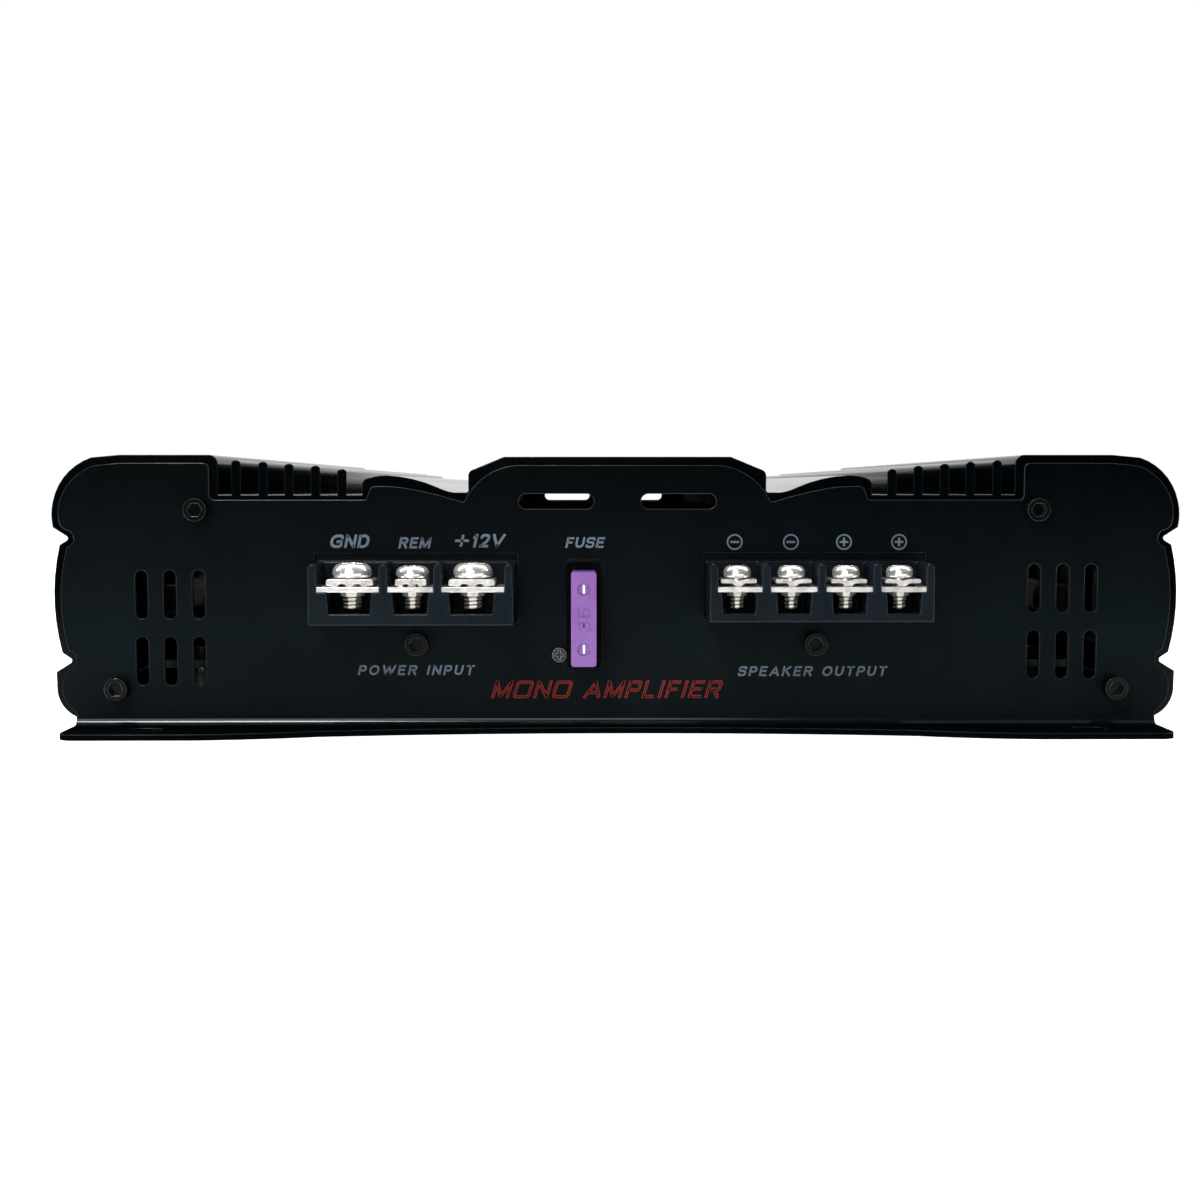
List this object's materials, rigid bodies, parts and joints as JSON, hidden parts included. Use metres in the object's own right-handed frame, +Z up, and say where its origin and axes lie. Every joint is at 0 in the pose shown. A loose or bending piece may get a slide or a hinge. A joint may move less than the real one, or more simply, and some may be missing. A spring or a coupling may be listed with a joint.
{
  "type": "car amplifier",
  "caption": "Mono car audio amplifier: finned black heatsink case with slotted mounting feet, barrier screw terminals, blade fuse, rear phono jacks and level knobs.",
  "frame": {"origin": "on the mounting surface, under the middle of the case", "axes": "+X to the right seen from the terminal end, +Y from the terminal panel to the rear panel, +Z up"},
  "size_m": [0.2314, 0.2654, 0.0565],
  "materials": {
    "heatsink_black": "satin black anodised coat",
    "panel_black": "satin black powder coat",
    "base_black": "matt black paint",
    "black_screw": "blackened steel",
    "nickel": "bright nickel plate",
    "zinc_screw": "bright zinc plate",
    "terminal_plastic": "dark blue-grey moulded plastic",
    "black_plastic": "black moulded plastic",
    "fuse_purple": "translucent purple plastic",
    "tin_plate": "tin plate",
    "board_green": "green solder mask",
    "copper_wire": "enamelled copper",
    "ferrite": "grey ferrite",
    "aluminium": "bare aluminium",
    "grey_pad": "grey silicone pad",
    "red_plastic": "red plastic",
    "white_plastic": "white plastic",
    "yellow_film": "yellow film capacitor",
    "green_lens": "green lens",
    "gold": "gold plate"
  },
  "bodies": {
    "case": {"heatsink": "heatsink_black", "base_plate": "base_black", "front_panel": "panel_black", "rear_panel": "panel_black", "panel_screws": "black_screw", "terminal_block_screws": "black_screw", "base_plate_screws": "black_screw", "power_terminal_housing": "terminal_plastic", "speaker_terminal_housing": "terminal_plastic", "power_terminal_plates": "nickel", "speaker_terminal_plates": "nickel", "fuse_holder": "black_plastic", "fuse_contacts": "tin_plate", "small_panel_screws": "zinc_screw", "circuit_board": "board_green", "board_standoffs": "nickel", "board_screws": "zinc_screw", "power_transformer_core": "ferrite", "power_transformer_winding": "copper_wire", "output_inductor_core": "ferrite", "output_inductor_winding": "copper_wire", "supply_capacitors": "black_plastic", "output_capacitors": "yellow_film", "power_transistors": "black_plastic", "insulator_strips": "grey_pad", "transistor_clamps": "aluminium", "transistor_clamp_screws": "zinc_screw", "control_board": "board_green", "board_connectors": "black_plastic", "control_chips": "black_plastic", "rca_housing": "black_plastic", "rca_shells": "gold", "rca_inserts_white": "white_plastic", "rca_inserts_red": "red_plastic", "potentiometers": "aluminium", "phase_switch_case": "aluminium", "remote_port": "black_plastic", "power_indicator": "green_lens", "protect_indicator": "red_plastic"},
    "power_clamp_1": {"power_clamp_1": "nickel"},
    "power_screw_1": {"power_screw_1": "nickel"},
    "power_clamp_2": {"power_clamp_2": "nickel"},
    "power_screw_2": {"power_screw_2": "nickel"},
    "power_clamp_3": {"power_clamp_3": "nickel"},
    "power_screw_3": {"power_screw_3": "nickel"},
    "speaker_clamp_1": {"speaker_clamp_1": "nickel"},
    "speaker_screw_1": {"speaker_screw_1": "nickel"},
    "speaker_clamp_2": {"speaker_clamp_2": "nickel"},
    "speaker_screw_2": {"speaker_screw_2": "nickel"},
    "speaker_clamp_3": {"speaker_clamp_3": "nickel"},
    "speaker_screw_3": {"speaker_screw_3": "nickel"},
    "speaker_clamp_4": {"speaker_clamp_4": "nickel"},
    "speaker_screw_4": {"speaker_screw_4": "nickel"},
    "fuse": {"fuse_body": "fuse_purple", "fuse_element": "tin_plate"},
    "level_knob": {"level_knob": "black_plastic"},
    "low_pass_knob": {"low_pass_knob": "black_plastic"},
    "subsonic_knob": {"subsonic_knob": "black_plastic"},
    "bass_boost_knob": {"bass_boost_knob": "black_plastic"},
    "phase_switch_lever": {"phase_switch_lever": "black_plastic"}
  },
  "joints": [
    {"name": "power_clamp_1_lift", "type": "slide", "parent": "case", "child": "power_clamp_1", "axis": [0, 0, 1], "range_m": [0, 0.0028]},
    {"name": "power_screw_1_turn", "type": "hinge", "parent": "power_clamp_1", "child": "power_screw_1", "pos_m": [-0.0533, -0.1253, 0.03015], "axis": [0, 0, 1], "range_deg": [0, 1445]},
    {"name": "power_clamp_2_lift", "type": "slide", "parent": "case", "child": "power_clamp_2", "axis": [0, 0, 1], "range_m": [0, 0.0028]},
    {"name": "power_screw_2_turn", "type": "hinge", "parent": "power_clamp_2", "child": "power_screw_2", "pos_m": [-0.0412, -0.1253, 0.03015], "axis": [0, 0, 1], "range_deg": [0, 1445]},
    {"name": "power_clamp_3_lift", "type": "slide", "parent": "case", "child": "power_clamp_3", "axis": [0, 0, 1], "range_m": [0, 0.0028]},
    {"name": "power_screw_3_turn", "type": "hinge", "parent": "power_clamp_3", "child": "power_screw_3", "pos_m": [-0.0291, -0.1253, 0.03015], "axis": [0, 0, 1], "range_deg": [0, 1445]},
    {"name": "speaker_clamp_1_lift", "type": "slide", "parent": "case", "child": "speaker_clamp_1", "axis": [0, 0, 1], "range_m": [0, 0.0028]},
    {"name": "speaker_screw_1_turn", "type": "hinge", "parent": "speaker_clamp_1", "child": "speaker_screw_1", "pos_m": [0.0239, -0.1253, 0.03015], "axis": [0, 0, 1], "range_deg": [0, 1445]},
    {"name": "speaker_clamp_2_lift", "type": "slide", "parent": "case", "child": "speaker_clamp_2", "axis": [0, 0, 1], "range_m": [0, 0.0028]},
    {"name": "speaker_screw_2_turn", "type": "hinge", "parent": "speaker_clamp_2", "child": "speaker_screw_2", "pos_m": [0.0348, -0.1253, 0.03015], "axis": [0, 0, 1], "range_deg": [0, 1445]},
    {"name": "speaker_clamp_3_lift", "type": "slide", "parent": "case", "child": "speaker_clamp_3", "axis": [0, 0, 1], "range_m": [0, 0.0028]},
    {"name": "speaker_screw_3_turn", "type": "hinge", "parent": "speaker_clamp_3", "child": "speaker_screw_3", "pos_m": [0.0458, -0.1253, 0.03015], "axis": [0, 0, 1], "range_deg": [0, 1445]},
    {"name": "speaker_clamp_4_lift", "type": "slide", "parent": "case", "child": "speaker_clamp_4", "axis": [0, 0, 1], "range_m": [0, 0.0028]},
    {"name": "speaker_screw_4_turn", "type": "hinge", "parent": "speaker_clamp_4", "child": "speaker_screw_4", "pos_m": [0.0566, -0.1253, 0.03015], "axis": [0, 0, 1], "range_deg": [0, 1445]},
    {"name": "fuse_pull", "type": "slide", "parent": "case", "child": "fuse", "axis": [0, -1, 0], "range_m": [0, 0.025]},
    {"name": "level_knob_turn", "type": "hinge", "parent": "case", "child": "level_knob", "pos_m": [0.022, 0.1187, 0.025], "axis": [0, 1, 0], "range_deg": [-140, 140]},
    {"name": "low_pass_knob_turn", "type": "hinge", "parent": "case", "child": "low_pass_knob", "pos_m": [0.005, 0.1187, 0.025], "axis": [0, 1, 0], "range_deg": [-140, 140]},
    {"name": "subsonic_knob_turn", "type": "hinge", "parent": "case", "child": "subsonic_knob", "pos_m": [-0.012, 0.1187, 0.025], "axis": [0, 1, 0], "range_deg": [-140, 140]},
    {"name": "bass_boost_knob_turn", "type": "hinge", "parent": "case", "child": "bass_boost_knob", "pos_m": [-0.029, 0.1187, 0.025], "axis": [0, 1, 0], "range_deg": [-140, 140]},
    {"name": "phase_switch_slide", "type": "slide", "parent": "case", "child": "phase_switch_lever", "axis": [1, 0, 0], "range_m": [0, 0.0024]}
  ],
  "couplings": [
    {"joint": "power_screw_1_turn", "follows": "power_clamp_1_lift", "rad_per_m": 8976},
    {"joint": "power_screw_2_turn", "follows": "power_clamp_2_lift", "rad_per_m": 8976},
    {"joint": "power_screw_3_turn", "follows": "power_clamp_3_lift", "rad_per_m": 8976},
    {"joint": "speaker_screw_1_turn", "follows": "speaker_clamp_1_lift", "rad_per_m": 8976},
    {"joint": "speaker_screw_2_turn", "follows": "speaker_clamp_2_lift", "rad_per_m": 8976},
    {"joint": "speaker_screw_3_turn", "follows": "speaker_clamp_3_lift", "rad_per_m": 8976},
    {"joint": "speaker_screw_4_turn", "follows": "speaker_clamp_4_lift", "rad_per_m": 8976}
  ]
}
